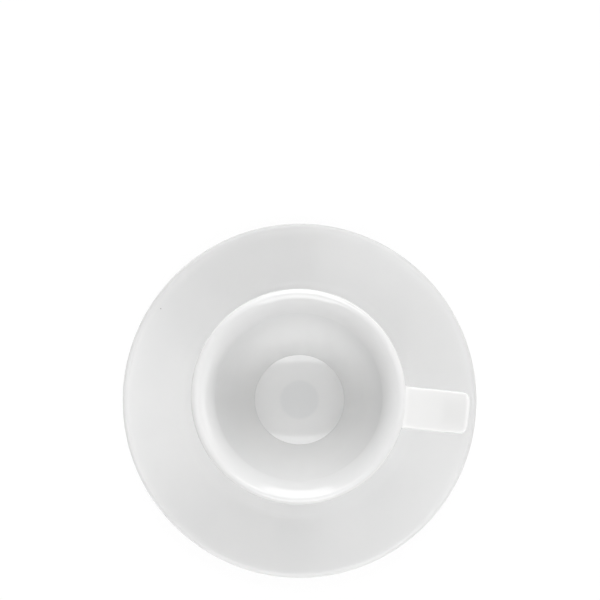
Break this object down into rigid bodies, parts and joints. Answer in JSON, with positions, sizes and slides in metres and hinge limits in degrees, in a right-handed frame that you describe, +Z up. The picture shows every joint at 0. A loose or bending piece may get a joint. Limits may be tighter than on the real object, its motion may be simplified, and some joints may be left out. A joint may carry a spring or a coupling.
{
  "type": "espresso cup with saucer",
  "caption": "Conical espresso cup with a flared lip, dished floor and flat strap handle, resting in the shallow round seat of a matching saucer.",
  "frame": {"origin": "centre of the saucer's foot ring, on the table", "axes": "+Z up along the common axis of cup and saucer, +X towards the handle"},
  "size_m": [0.12, 0.12, 0.0606],
  "materials": {
    "saucer_glaze": "gloss",
    "cup_glaze": "gloss"
  },
  "bodies": {
    "saucer": {"saucer": "saucer_glaze"},
    "cup": {"cup_body": "cup_glaze", "cup_handle": "cup_glaze"}
  },
  "joints": [
    {"name": "cup_lift", "type": "slide", "parent": "saucer", "child": "cup", "axis": [0, 0, 1], "range_m": [0, 0.08]}
  ]
}
